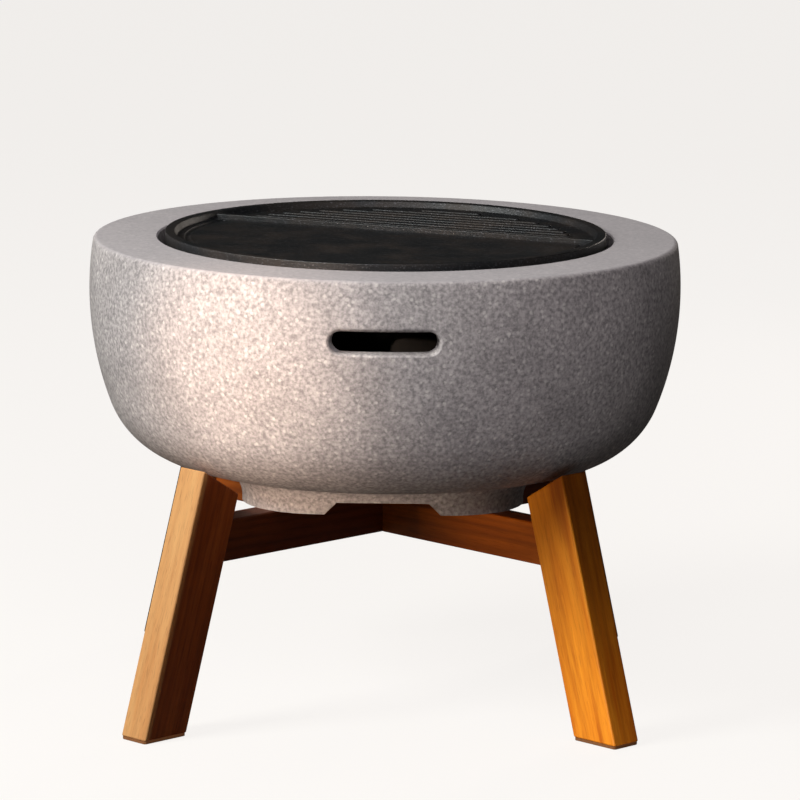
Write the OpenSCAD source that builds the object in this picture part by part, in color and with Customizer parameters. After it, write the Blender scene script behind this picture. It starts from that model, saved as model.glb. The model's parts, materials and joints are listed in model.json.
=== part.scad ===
// Charcoal brazier: a cast bowl on a cross-lapped timber stand, with a
// steel fire pan, a charcoal grate and a cast-iron grill plate inside.
// Millimetres. Z is up, the origin is on the floor under the bowl's axis,
// and the front, where one hand slot is, faces -Y.

/* [Bowl] */
// Widest diameter of the bowl
bowl_d = 600; // [560:5:660]
// Thickness of the cast wall and floor
bowl_wall = 20; // [14:1:26]
// Radius of the gentle curve of the side, seen in section
side_arc_r = 325; // [280:5:400]
// How far that curve runs below the widest point, in degrees
side_arc_sweep = 21; // [17:1:25]
// Radius of the shoulder that turns the side under the bowl
shoulder_r = 92; // [84:1:100]
// Height of the rim above the widest point
rim_above_belly = 51; // [40:1:62]
// Rounding of the rim's outer edge
rim_round = 5; // [2:0.5:10]
// Bevel of the rim's inner edge
rim_inner_bevel = 1.5; // [0.5:0.5:3]

/* [Opening] */
// Diameter of the opening in the rim
opening_d = 462; // [430:2:480]
// Depth of the opening down to the ledge
ledge_depth = 23; // [18:1:30]
// Width of the ledge that carries the fire pan
ledge_w = 18; // [12:1:26]
// Thickness of the turned-in rim at the opening
rim_t = 38; // [32:1:46]

/* [Hand slots] */
// Length of each hand slot
hand_slot_w = 108; // [80:1:130]
// Height of each hand slot
hand_slot_h = 22; // [18:1:28]
// Distance from the rim's top to the middle of the slot
hand_slot_drop = 60; // [52:1:72]
// Bevel round the mouth of each slot
hand_slot_bevel = 3; // [1:0.5:5]

/* [Cast foot] */
// Width of the square foot, flat to flat
foot_w = 284; // [260:2:300]
// Radius of the foot's corners
foot_corner_r = 79; // [60:1:90]
// Thickness of the foot's wall
foot_wall = 32; // [24:1:40]
// Straight height of the foot's wall under the cove
foot_straight = 5; // [3:0.5:10]
// Radius of the cove between foot and bowl
foot_cove_r = 28; // [18:1:32]
// Width of each notch in the foot, at its top
notch_w = 92; // [70:1:110]
// Height of each notch
notch_h = 12; // [8:1:18]
// Rounding of the foot's lower edge
foot_edge_round = 3; // [1:0.5:4]

/* [Stand] */
// Height of the rails' lower edge above the floor
rail_z = 168; // [120:1:200]
// Height of each rail
rail_h = 42; // [36:1:60]
// Thickness of each rail
rail_t = 30; // [24:1:34]
// Thickness of each leg
leg_t = 35; // [30:1:45]
// Depth of each leg, measured level
leg_depth = 56; // [48:1:64]
// Distance from the axis to a leg's outer face, at the leg's lower end
leg_reach = 344; // [330:1:360]
// Lean of the legs from upright, in degrees
leg_lean = 16.7; // [14:0.1:18]
// Rounding of the long edges of legs and rails
edge_ease = 2; // [0.5:0.5:4]
// Slope of the legs' top cut, in degrees
leg_top_slope = 31.5; // [25:0.5:36]
// Gap between the legs' tops and the bowl
leg_top_gap = 7; // [3:0.5:12]
// Thickness of the pad under each leg
pad_t = 3; // [2:0.5:5]
// Distance of the pad's edge from the leg's edge
pad_inset = 0.5; // [0:0.5:3]
// Corner radius of the pads
pad_corner_r = 3; // [1:0.5:6]

/* [Joinery] */
// Diameter of the dowels between legs and rails
dowel_d = 10; // [8:0.5:12]
// Length of each dowel
dowel_l = 50; // [40:1:60]
// Distance of a dowel's axis from the rail's nearer edge
dowel_inset = 11; // [9:1:15]
// Radial clearance round a dowel
dowel_clear = 0.05; // [0.02:0.01:0.1]
// Space left past each end of a dowel
dowel_end_gap = 1; // [0.5:0.5:2]
// Clearance on each side of the half-lap joint
lap_clear = 0.2; // [0.1:0.05:0.5]

/* [Fire pan] */
// Thickness of the pan's steel sheet
pan_sheet = 2; // [1.5:0.5:3]
// Depth of the pan below its flange
pan_depth = 110; // [90:1:125]
// Outward lean of the pan's wall, in degrees
pan_lean = 8; // [4:1:12]
// Outer radius where wall and floor meet
pan_corner_r = 12; // [8:1:20]
// Gap between the pan and the throat of the bowl
pan_throat_gap = 5; // [3:0.5:8]
// Gap between the pan's flange and the wall of the opening
pan_flange_gap = 2; // [1:0.5:4]
// Number of air holes round the pan
pan_holes = 16; // [8:1:24]
// Diameter of each air hole
pan_hole_d = 10; // [6:1:14]
// Height of the air holes above the pan's floor
pan_hole_rise = 30; // [22:1:40]

/* [Charcoal grate] */
// Diameter of the grate's rods
grate_rod_d = 7; // [5:0.5:9]
// Distance between the rods
grate_pitch = 22; // [18:1:28]
// Height of the grate's legs below the ring's axis
grate_leg_h = 22; // [16:1:30]
// Distance from the ring's outer edge to where the pan's corner begins
grate_inset = 0.5; // [0.5:0.5:8]
// Depth to which welded rods sink into each other
grate_weld = 0.5; // [0.3:0.1:1]

/* [Grill plate] */
// Gap between the plate and the wall of the opening
plate_gap = 7.5; // [4:0.5:10]
// Height of the plate's rim above the bowl's rim
plate_proud = 6; // [2:0.5:10]
// Height of the plate's rim
plate_rim_h = 18; // [14:1:22]
// Width of the plate's rim at its top
plate_rim_w = 9; // [7:0.5:14]
// Slope of the rim's inner side, as a width
plate_rim_slope = 3; // [1:0.5:5]
// Depth of the cooking floor below the plate's rim
plate_recess = 7; // [5:0.5:10]
// Thickness of the cooking floor
plate_floor_t = 7; // [5:0.5:9]
// Turn of the plate's pattern, in degrees
plate_turn = -22; // [-90:1:90]
// Distance of the divider from the middle of the plate
divider_offset = 48; // [30:1:80]
// Width of the divider's top
divider_w = 5; // [4:0.5:8]
// Height of the divider above the cooking floor
divider_h = 5; // [3:0.5:7]
// Distance between the grill bars
bar_pitch = 16; // [14:0.5:20]
// Width of the slots between the bars
bar_slot_w = 8; // [6:0.5:10]
// Height of the bars above the cooking floor
bar_h = 3; // [1:0.5:4]
// Width of the web that ties the bars
web_w = 12; // [8:1:20]
// Width of the flat border inside the plate's rim
border_w = 22; // [16:1:30]
// Width of the grease groove
groove_w = 7; // [5:0.5:10]
// Depth of the grease groove
groove_depth = 2; // [1:0.5:3]
// Number of feet under the plate
plate_feet = 4; // [3:1:8]
// Width of each foot under the plate
plate_foot_w = 18; // [12:1:26]

/* [Hidden] */
$fn = 96;
ROUND_FN = 180;
EPS = 0.01;
bowl_r = bowl_d / 2;
opening_r = opening_d / 2;
throat_r = opening_r - ledge_w;

// heights, from the floor up
rail_top = rail_z + rail_h;
foot_h = foot_straight + foot_cove_r;
underside_z = rail_top + foot_h;
floor_z = underside_z + bowl_wall;
shoulder_z = underside_z + shoulder_r;
arc_step = side_arc_r - shoulder_r;
belly_z = shoulder_z + arc_step * sin(side_arc_sweep);
rim_z = belly_z + rim_above_belly;
ledge_z = rim_z - ledge_depth;
rim_under_z = rim_z - rim_t;
hand_slot_z = rim_z - hand_slot_drop;

// centres of the two arcs of the bowl's section
side_c = [bowl_r - side_arc_r, belly_z];
shoulder_c = [side_c[0] + arc_step * cos(side_arc_sweep), shoulder_z];

// stand
leg_slope = tan(leg_lean);
function leg_out_r(z) = leg_reach - (z - pad_t) * leg_slope;
function leg_in_r(z) = leg_out_r(z) - leg_depth;
FRONT_LEFT = 225;
BACK_RIGHT = 45;
FRONT_RIGHT = 315;
BACK_LEFT = 135;
dowel_hole_r = dowel_d / 2 + dowel_clear;
dowel_levels = [rail_z + dowel_inset, rail_top - dowel_inset];

// fire pan
pan_flange_z = ledge_z + pan_sheet;
pan_wall_r = throat_r - pan_throat_gap;
pan_floor_z = pan_flange_z - pan_depth;
pan_corner_z = pan_floor_z + pan_corner_r;
pan_normal = [cos(pan_lean), -sin(pan_lean)];
// the wall's outer line passes through pan_wall_r at the flange
pan_corner_x = pan_wall_r - pan_corner_r / cos(pan_lean)
    - (pan_flange_z - pan_corner_z) * tan(pan_lean);

// charcoal grate
grate_ring_z = pan_floor_z + pan_sheet + grate_leg_h;
grate_ring_r = pan_corner_x - grate_inset - grate_rod_d / 2;
grate_rod_z = grate_ring_z + grate_rod_d - grate_weld;
grate_side_rods = floor((grate_ring_r - grate_rod_d) / grate_pitch);

// grill plate
plate_r = opening_r - plate_gap;
plate_top = rim_z + plate_proud;
plate_low = plate_top - plate_rim_h;
plate_floor = plate_top - plate_recess;
plate_field_r = plate_r - plate_rim_w - plate_rim_slope;
pattern_r = plate_field_r - border_w;
groove_r = plate_field_r - groove_w;
first_slot = divider_offset + divider_w / 2 + bar_pitch - bar_slot_w / 2;
slot_rows = floor((pattern_r - first_slot - bar_slot_w / 2) / bar_pitch);

// ---- shared shapes ----

// Point at distance r and angle a from c
function polar(c, r, a) = [c[0] + r * cos(a), c[1] + r * sin(a)];

// Half-length of a chord at distance d from the middle of a circle
function half_chord(r, d) = sqrt(max(0, r * r - d * d));

// Square with true round corners
module round_square(w, d, r) {
    square([w - 2 * r, d], center = true);
    square([w, d - 2 * r], center = true);
    for (x = [-1, 1], y = [-1, 1])
        translate([x * (w / 2 - r), y * (d / 2 - r)])
            circle(r = r);
}

// Slot with round ends, along X
module stadium(l, w) {
    square([l - w, w], center = true);
    for (x = [-1, 1])
        translate([x * (l - w) / 2, 0])
            circle(d = w);
}

// ---- bowl ----

// Half section of the bowl's outside, drawn in by inset. The two arcs meet
// tangentially, and the two parts overlap inside, so no seam is left
module bowl_outline(inset = 0) {
    reach = 2 * bowl_d;
    ray = -side_arc_sweep;
    low = underside_z + inset;
    meet = polar(side_c, side_arc_r - inset, ray);
    bottom = [shoulder_c[0], low];
    inside = polar(shoulder_c, shoulder_r / 2, 135);
    intersection() {
        translate([0, low])
            square([bowl_d, rim_z - low]);
        union() {
            intersection() {
                translate(side_c)
                    circle(r = side_arc_r - inset, $fn = 2 * ROUND_FN);
                polygon([shoulder_c, polar(side_c, reach, ray), polar(side_c, reach, 60),
                         [0, reach], [0, low], bottom]);
            }
            intersection() {
                translate(shoulder_c)
                    circle(r = shoulder_r - inset, $fn = ROUND_FN);
                polygon([inside, meet, polar(shoulder_c, reach, ray),
                         polar(shoulder_c, reach, -60), polar(shoulder_c, reach, -90),
                         bottom]);
            }
        }
    }
}

// Outline with the rim's outer edge rounded off
module rounded_bowl_outline() {
    round_z = rim_z - rim_round;
    lift = asin((round_z - belly_z) / (side_arc_r - rim_round));
    round_c = [side_c[0] + (side_arc_r - rim_round) * cos(lift), round_z];
    far = 4 * rim_round;
    difference() {
        bowl_outline();
        polygon([round_c, polar(round_c, far, lift), round_c + [far, far],
                 round_c + [0, far]]);
    }
    translate(round_c)
        circle(r = rim_round);
}

module bowl_section() {
    difference() {
        rounded_bowl_outline();
        intersection() {
            bowl_outline(bowl_wall);
            square([bowl_d, rim_under_z]);
        }
        translate([0, floor_z])
            square([throat_r, rim_z]);
        translate([0, ledge_z])
            square([opening_r, rim_z]);
        translate([opening_r, rim_z])
            rotate(45)
                square(rim_inner_bevel * sqrt(2), center = true);
    }
}

// One corner of the foot, or its half section on a straight side, from the
// middle out to the cove; w is the distance to the upright face
module foot_profile(w) {
    top = underside_z + bowl_wall / 2;
    difference() {
        translate([0, rail_top])
            square([w + foot_cove_r, top - rail_top]);
        translate([w + foot_cove_r, rail_top + foot_straight])
            circle(r = foot_cove_r);
        translate([w, rail_top - 1])
            square([2 * foot_cove_r, foot_straight + 1]);
        translate([w - foot_edge_round, rail_top - EPS])
            difference() {
                square(foot_edge_round + 1);
                translate([0, foot_edge_round + EPS])
                    circle(r = foot_edge_round);
            }
    }
}

// Straight stretch of the foot, coved on both sides, running along Y
module foot_run() {
    rotate([90, 0, 0])
        linear_extrude(foot_w - 2 * foot_corner_r, center = true)
            for (side = [0, 1])
                mirror([side, 0])
                    foot_profile(foot_w / 2);
}

module foot_block() {
    corner = foot_w / 2 - foot_corner_r;
    foot_run();
    rotate(90)
        foot_run();
    for (x = [-1, 1], y = [-1, 1])
        translate([x * corner, y * corner])
            rotate_extrude($fn = ROUND_FN)
                foot_profile(foot_corner_r);
}

// Sloped notch in the middle of each side of the foot
module foot_notches() {
    for (a = [0, 90])
        rotate(a)
            rotate([90, 0, 0])
                linear_extrude(foot_w + 4 * foot_cove_r, center = true)
                    polygon([[-notch_w / 2 - notch_h - 1, rail_top - 1],
                             [notch_w / 2 + notch_h + 1, rail_top - 1],
                             [notch_w / 2, rail_top + notch_h],
                             [-notch_w / 2, rail_top + notch_h]]);
}

// Half section of a hand slot's cutter, from inside the wall to a mouth that
// is bevelled open; out is the distance from the bowl's axis
module hand_slot_section() {
    half = hand_slot_h / 2;
    deep = bowl_r - hand_slot_bevel;
    flare = 3 * hand_slot_bevel;
    polygon([[0, bowl_r - 3 * bowl_wall], [half, bowl_r - 3 * bowl_wall], [half, deep],
             [half + flare, deep + flare], [0, deep + flare]]);
}

// Round-ended hand slots, front and back, which run with the round wall
module hand_slots() {
    turn = asin((hand_slot_w - hand_slot_h) / bowl_d);
    for (a = [0, 180])
        translate([0, 0, hand_slot_z])
            rotate(a) {
                rotate(-90 - turn)
                    rotate_extrude(angle = 2 * turn, $fn = 4 * ROUND_FN)
                        for (side = [0, 1])
                            mirror([0, side])
                                mirror([1, -1])
                                    hand_slot_section();
                for (side = [0, 1])
                    mirror([side, 0, 0])
                        rotate(-90 + turn)
                            rotate([0, 90, 0])
                                rotate_extrude(angle = 180, $fn = 64)
                                    hand_slot_section();
            }
}

module bowl() {
    color("#8c8783")
        difference() {
            union() {
                rotate_extrude($fn = ROUND_FN)
                    bowl_section();
                foot_block();
            }
            translate([0, 0, rail_top - 1])
                linear_extrude(foot_h + 1)
                    round_square(foot_w - 2 * foot_wall, foot_w - 2 * foot_wall,
                                 foot_corner_r - foot_wall);
            foot_notches();
            hand_slots();
        }
}

// ---- fire pan ----

// Half section of the pan's inside or outside, drawn in by inset
module pan_outline(inset, top) {
    r = pan_corner_r - inset;
    c = [pan_corner_x, pan_corner_z];
    turn = c + r * pan_normal;
    wall_top = [turn[0] + (top - turn[1]) * tan(pan_lean), top];
    polygon([[0, c[1] - r], [c[0], c[1] - r], c, turn, wall_top, [0, top]]);
    translate(c)
        circle(r = r);
}

module fire_pan() {
    flange_r = opening_r - pan_flange_gap;
    color("#2a2a2b")
        difference() {
            rotate_extrude($fn = ROUND_FN)
                difference() {
                    union() {
                        pan_outline(0, pan_flange_z);
                        translate([pan_wall_r - pan_sheet, ledge_z])
                            square([flange_r - pan_wall_r + pan_sheet, pan_sheet]);
                    }
                    pan_outline(pan_sheet, pan_flange_z + 1);
                }
            for (i = [0 : pan_holes - 1])
                rotate((i + 0.5) * 360 / pan_holes)
                    translate([pan_corner_x, 0, pan_floor_z + pan_hole_rise])
                        rotate([0, 90, 0])
                            cylinder(d = pan_hole_d, h = throat_r, $fn = 32);
        }
}

// ---- charcoal grate ----

module grate_ring() {
    color("#4b4a48")
        translate([0, 0, grate_ring_z])
            rotate_extrude($fn = ROUND_FN)
                translate([grate_ring_r, 0])
                    circle(d = grate_rod_d, $fn = 24);
}

module grate_rods() {
    color("#4b4a48")
        for (i = [-grate_side_rods : grate_side_rods])
            translate([0, i * grate_pitch, grate_rod_z])
                rotate([0, 90, 0])
                    cylinder(d = grate_rod_d, $fn = 24, center = true,
                             h = 2 * half_chord(grate_ring_r, i * grate_pitch));
}

module grate_legs() {
    color("#4b4a48")
        for (a = [45 : 90 : 315])
            rotate(a)
                translate([grate_ring_r, 0, pan_floor_z + pan_sheet])
                    cylinder(d = grate_rod_d, $fn = 24,
                             h = grate_leg_h - grate_rod_d / 2 + grate_weld);
}

// ---- grill plate ----

module plate_section() {
    translate([0, plate_floor - plate_floor_t])
        square([plate_r - 1, plate_floor_t]);
    polygon([[plate_r, plate_low], [plate_r, plate_top],
             [plate_r - plate_rim_w, plate_top],
             [plate_field_r, plate_floor],
             [plate_field_r, plate_floor - plate_floor_t],
             [plate_r - plate_rim_w, plate_low]]);
}

// The part of a disc on the grill side (+Y) of a line at distance d
module grill_side(r, d) {
    intersection() {
        circle(r = r, $fn = ROUND_FN);
        translate([-r, d])
            square([2 * r, r]);
    }
}

// Row k of slots, split by the middle web; row 0 is next to the divider
module slot_row(k) {
    y = first_slot + k * bar_pitch;
    reach = half_chord(pattern_r, y + bar_slot_w / 2);
    l = reach - web_w / 2;
    for (side = [-1, 1])
        translate([side * (web_w + l) / 2, y])
            stadium(l, bar_slot_w);
}

module grill_bars() {
    for (k = [0 : slot_rows]) {
        y = first_slot + (k - 0.5) * bar_pitch;
        bar_w = bar_pitch - bar_slot_w;
        translate([0, y, plate_floor - 1])
            linear_extrude(bar_h + 1)
                stadium(2 * half_chord(pattern_r, y + bar_w / 2), bar_w);
    }
}

module grill_plate() {
    divider_reach = half_chord(plate_field_r, divider_offset) + plate_rim_slope / 2;
    color("#26272a")
        rotate(plate_turn) {
            difference() {
                union() {
                    rotate_extrude($fn = ROUND_FN)
                        plate_section();
                    translate([0, divider_offset, plate_floor - 1 + (divider_h + 1) / 2])
                        cube([2 * divider_reach, divider_w, divider_h + 1], center = true);
                    grill_bars();
                }
                translate([0, 0, plate_floor - plate_floor_t - 1])
                    linear_extrude(plate_rim_h)
                        for (k = [0 : slot_rows])
                            slot_row(k);
                translate([0, 0, plate_floor - groove_depth])
                    linear_extrude(groove_depth + 1)
                        difference() {
                            circle(r = groove_r, $fn = ROUND_FN);
                            circle(r = groove_r - groove_w, $fn = ROUND_FN);
                            grill_side(plate_r, divider_offset - divider_w);
                        }
            }
            for (i = [0 : plate_feet - 1])
                rotate((i + 0.5) * 360 / plate_feet)
                    translate([plate_r - plate_rim_w / 2, 0, (plate_low + pan_flange_z + 1) / 2])
                        cube([plate_rim_w - 1, plate_foot_w, plate_low - pan_flange_z + 1],
                             center = true);
        }
}

// ---- stand ----

// Stands a section drawn in radius and height up in the plane at azimuth a
module in_plane(a, thickness) {
    rotate([0, 0, a])
        rotate([90, 0, 0])
            linear_extrude(thickness, center = true)
                children();
}

// Two level bores or dowels across the joint of leg and rail
module dowel_pair(a, r, l) {
    for (z = dowel_levels)
        rotate(a)
            translate([leg_in_r(z), 0, z])
                rotate([0, 90, 0])
                    cylinder(r = r, h = l, center = true, $fn = 48);
}

module leg_outline() {
    cut = 90 - leg_top_slope;
    top = polar(shoulder_c, shoulder_r + leg_top_gap, -cut);
    along = [cos(leg_top_slope), sin(leg_top_slope)];
    far = bowl_r;
    head = belly_z;
    difference() {
        polygon([[leg_out_r(pad_t), pad_t], [leg_out_r(head), head],
                 [leg_in_r(head), head], [leg_in_r(pad_t), pad_t]]);
        polygon([top - far * along, top + far * along,
                 top + far * along + [0, far], top - far * along + [0, far]]);
    }
}

// Leaning plank with eased long edges, as deep and thick as a leg
module leg_plank(a) {
    rotate(a)
        translate([leg_out_r(pad_t) - leg_depth / 2, 0, pad_t])
            rotate([0, -leg_lean, 0])
                linear_extrude(2 * belly_z, center = true)
                    round_square(leg_depth * cos(leg_lean), leg_t, edge_ease);
}

module leg(a) {
    color("#b9792f")
        difference() {
            intersection() {
                in_plane(a, leg_t + 1)
                    leg_outline();
                leg_plank(a);
            }
            dowel_pair(a, dowel_hole_r, dowel_l + 2 * dowel_end_gap);
        }
}

module dowels(a) {
    color("#d9b98a")
        dowel_pair(a, dowel_d / 2, dowel_l);
}

module pad(a) {
    color("#1d1c1b")
        rotate(a)
            translate([leg_out_r(pad_t) - leg_depth / 2, 0])
                linear_extrude(pad_t)
                    round_square(leg_depth - 2 * pad_inset, leg_t - 2 * pad_inset,
                                 pad_corner_r);
}

// Rail from leg to leg; up is 1 where its lap is cut from above, -1 from below
module rail(a, up) {
    lap_w = rail_t + 2 * lap_clear;
    lap_z = up > 0 ? rail_z + rail_h / 2 : rail_z - 1;
    color("#a86a27")
        difference() {
            intersection() {
                in_plane(a, rail_t + 1)
                    polygon([[-leg_in_r(rail_z), rail_z], [leg_in_r(rail_z), rail_z],
                             [leg_in_r(rail_top), rail_top], [-leg_in_r(rail_top), rail_top]]);
                rotate([90, 0, a + 90])
                    translate([0, (rail_z + rail_top) / 2])
                        linear_extrude(2 * leg_reach, center = true)
                            round_square(rail_t, rail_h, edge_ease);
            }
            rotate(a)
                translate([-lap_w / 2, -rail_t, lap_z])
                    cube([lap_w, 2 * rail_t, rail_h / 2 + 1]);
            dowel_pair(a, dowel_hole_r, dowel_l + 2 * dowel_end_gap);
            dowel_pair(a + 180, dowel_hole_r, dowel_l + 2 * dowel_end_gap);
        }
}

module base_rail() { rail(BACK_RIGHT, 1); }
module cross_rail() { rail(FRONT_RIGHT, -1); }
module front_left_leg() { leg(FRONT_LEFT); }
module back_right_leg() { leg(BACK_RIGHT); }
module front_right_leg() { leg(FRONT_RIGHT); }
module back_left_leg() { leg(BACK_LEFT); }
module front_left_dowels() { dowels(FRONT_LEFT); }
module back_right_dowels() { dowels(BACK_RIGHT); }
module front_right_dowels() { dowels(FRONT_RIGHT); }
module back_left_dowels() { dowels(BACK_LEFT); }
module front_left_pad() { pad(FRONT_LEFT); }
module back_right_pad() { pad(BACK_RIGHT); }
module front_right_pad() { pad(FRONT_RIGHT); }
module back_left_pad() { pad(BACK_LEFT); }

bowl();
fire_pan();
grate_ring();
grate_rods();
grate_legs();
grill_plate();
base_rail();
front_left_leg();
back_right_leg();
front_left_dowels();
back_right_dowels();
front_left_pad();
back_right_pad();
cross_rail();
front_right_leg();
back_left_leg();
front_right_dowels();
back_left_dowels();
front_right_pad();
back_left_pad();
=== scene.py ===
# %% [markdown]
# # A charcoal brazier, dressed for its portrait
#
# The brazier is a round cast bowl on a crossed timber stand. A fire pan hangs
# in the bowl's opening, a charcoal grate stands in the pan, and a cast-iron
# grill plate closes the top. The construction model already says where each
# piece is and how big it is, so this notebook loads it as a fixed frame. Each
# piece is then modelled again with the softer edges that casting, pressing and
# sanding leave, or keeps its construction mesh where nobody will see it.
#
# Everything is in metres, Z is up, and the front faces -Y.

# %% Load the frame
import json
import math

import bmesh
import bpy
from mathutils import Matrix, Vector

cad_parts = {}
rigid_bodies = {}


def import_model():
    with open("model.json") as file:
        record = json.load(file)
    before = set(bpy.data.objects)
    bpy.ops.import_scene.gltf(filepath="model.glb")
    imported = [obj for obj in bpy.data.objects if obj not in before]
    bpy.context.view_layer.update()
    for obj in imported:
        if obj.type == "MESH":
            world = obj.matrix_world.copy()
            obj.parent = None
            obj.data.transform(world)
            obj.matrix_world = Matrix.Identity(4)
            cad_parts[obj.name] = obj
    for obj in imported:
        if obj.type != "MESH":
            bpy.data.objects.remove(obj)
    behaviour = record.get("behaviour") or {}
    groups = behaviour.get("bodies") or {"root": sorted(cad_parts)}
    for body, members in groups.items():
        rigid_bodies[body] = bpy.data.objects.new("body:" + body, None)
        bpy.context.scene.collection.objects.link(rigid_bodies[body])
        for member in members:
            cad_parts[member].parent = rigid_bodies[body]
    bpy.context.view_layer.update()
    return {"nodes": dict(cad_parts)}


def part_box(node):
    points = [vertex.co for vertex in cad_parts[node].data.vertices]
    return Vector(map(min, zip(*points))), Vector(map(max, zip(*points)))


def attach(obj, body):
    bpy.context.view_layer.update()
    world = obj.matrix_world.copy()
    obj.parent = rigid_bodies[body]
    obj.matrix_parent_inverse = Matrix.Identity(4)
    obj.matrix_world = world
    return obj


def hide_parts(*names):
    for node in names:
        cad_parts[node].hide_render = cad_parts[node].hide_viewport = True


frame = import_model()

# %% [markdown]
# ## Sizes
#
# The frame gives the box of every construction node, so the radius and the
# heights of the bowl are read from its box. Each piece below takes its place
# the same way, and adds only what no box shows, such as a wall or a rounding.

# %% The sizes that the pieces share
MM = 0.001
MERGE = 0.001 * MM         # vertices closer than this are made one
LOOSE_MERGE = 0.01 * MM    # and this joins halves that were drawn apart
bowl_low, bowl_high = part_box("bowl")
plate_low, plate_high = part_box("grill_plate")
pan_low, pan_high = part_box("fire_pan")
rail_low, rail_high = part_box("base_rail")
pad_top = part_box("front_left_pad")[1].z
LEG_NAMES = {225: "front_left", 45: "back_right", 315: "front_right", 135: "back_left"}
BODY_OF_LEG = {225: "stand_base", 45: "stand_base", 315: "stand_cross", 135: "stand_cross"}
bowl_r = round(bowl_high.x, 3)
rim_z = bowl_high.z
foot_z = bowl_low.z
print("bowl radius", bowl_r, "rim at", round(rim_z, 4), "foot at", round(foot_z, 4))

# %% [markdown]
# ## Tools for the modelling
#
# Most of the pieces are turned or cast shapes. A profile is drawn as a chain of
# points in the XZ plane, where a round stretch is a point that is spun about the
# middle of its arc, and the finished chain is spun about the Z axis. That keeps
# the number of typed points small and every rounding a true arc.


# %% Profiles and revolved shapes
def whole(mesh):
    """All of a mesh, as an operator takes it."""
    return mesh.verts[:] + mesh.edges[:] + mesh.faces[:]


def verts_in(geometry):
    """The vertices among what an operator returns."""
    return [part for part in geometry if isinstance(part, bmesh.types.BMVert)]


def chain(mesh, points, start=None):
    """Adds (x, z) points joined by edges, going on from start, and returns the last vertex."""
    last = start
    for x, z in points:
        vertex = mesh.verts.new((x, 0, z))
        if last:
            mesh.edges.new((last, vertex))
        last = vertex
    return last


def arc(mesh, start, centre, degrees, steps):
    """Spins the vertex start about centre; a positive angle turns +Z towards +X."""
    made = bmesh.ops.spin(
        mesh, geom=[start], cent=(centre[0], 0, centre[1]), axis=(0, 1, 0),
        angle=math.radians(degrees), steps=steps, use_merge=False)
    return verts_in(made["geom_last"])[0]


def revolve(mesh, steps):
    """Turns the whole profile into a closed shape round the Z axis."""
    bmesh.ops.spin(mesh, geom=whole(mesh), cent=(0, 0, 0), axis=(0, 0, 1),
                   angle=2 * math.pi, steps=steps, use_merge=True)
    bmesh.ops.remove_doubles(mesh, verts=mesh.verts, dist=MERGE)
    bmesh.ops.recalc_face_normals(mesh, faces=mesh.faces)


def polar(centre, radius, degrees):
    """The point of a plane at that distance and angle from centre."""
    turn = math.radians(degrees)
    return (centre[0] + radius * math.cos(turn), centre[1] + radius * math.sin(turn))


print("10 mm up from the axis:", [round(x / MM, 3) for x in polar((0, 0), 10 * MM, 90)])

# %% [markdown]
# Flat shapes start as one square face whose corners are rounded off, which also
# gives a slot with round ends when the corner radius is half the width. The face
# is then extruded.

# %% Extruded shapes
def about_z(degrees):
    """The matrix that turns a shape round the Z axis."""
    return Matrix.Rotation(math.radians(degrees), 4, "Z")


def rounded_slab(mesh, size, corner, low, high, place=(0, 0), turn=0, segments=12):
    """A slab with rounded corners, size (x, y), between two heights, turned in degrees."""
    made = bmesh.ops.create_grid(mesh, x_segments=1, y_segments=1, size=0.5)
    verts = made["verts"]
    bmesh.ops.scale(mesh, vec=(size[0], size[1], 1), verts=verts)
    made = bmesh.ops.bevel(
        mesh, geom=verts, offset=corner, offset_type="OFFSET", segments=segments,
        profile=0.5, affect="VERTICES", material=-1, clamp_overlap=True)
    face = made["verts"][0].link_faces[0]
    made = bmesh.ops.extrude_face_region(mesh, geom=[face], use_keep_orig=True)
    top = verts_in(made["geom"])
    bottom = list(face.verts)
    bmesh.ops.translate(mesh, vec=(0, 0, high), verts=top)
    bmesh.ops.translate(mesh, vec=(0, 0, low), verts=bottom)
    matrix = Matrix.Translation((*place, 0)) @ about_z(turn)
    bmesh.ops.transform(mesh, matrix=matrix, verts=top + bottom)
    bmesh.ops.recalc_face_normals(mesh, faces=mesh.faces)


trial = bmesh.new()
rounded_slab(trial, (40 * MM, 20 * MM), 9 * MM, 0, 5 * MM)
print("trial slab:", len(trial.faces), "faces,", round(trial.calc_volume() * 1e6, 2), "ml")
trial.free()

# %% [markdown]
# Pieces are joined, and slots and bores are cut, by a Boolean, as a core leaves
# its hole in a casting. The result is opened again as a bmesh, because its sharp
# edges are eased only when they are all there.

# %% Joins, cuts and eased edges
def as_object(mesh, name):
    """Turns a bmesh into an object at the origin, with its place in its mesh."""
    data = bpy.data.meshes.new(name)
    mesh.to_mesh(data)
    mesh.free()
    made = bpy.data.objects.new(name, data)
    bpy.context.scene.collection.objects.link(made)
    return made


def combine(piece, other, operation):
    """Joins other to piece or cuts it out, for good, and removes other."""
    modifier = piece.modifiers.new(operation.lower(), "BOOLEAN")
    modifier.operation = operation
    modifier.solver = "EXACT"
    modifier.object = other
    with bpy.context.temp_override(object=piece, active_object=piece):
        bpy.ops.object.modifier_apply(modifier=modifier.name)
    bpy.data.objects.remove(other)


def reopen(piece):
    """The piece's mesh as a bmesh again, with its doubles merged; the object goes."""
    mesh = bmesh.new()
    mesh.from_mesh(piece.data)
    bpy.data.objects.remove(piece)
    bmesh.ops.remove_doubles(mesh, verts=mesh.verts, dist=MERGE)
    return mesh


def sharp_edges(mesh, degrees=30):
    """The edges where two faces meet at more than that angle."""
    limit = math.radians(degrees)
    return [e for e in mesh.edges if e.is_manifold and e.calc_face_angle(0) > limit]


def ease(mesh, edges, width, segments=3):
    """Rounds edges off, as sanding does, or the sand of a mould."""
    bmesh.ops.bevel(
        mesh, geom=edges, offset=width, offset_type="OFFSET", segments=segments,
        profile=0.5, affect="EDGES", material=-1, clamp_overlap=True)


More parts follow.
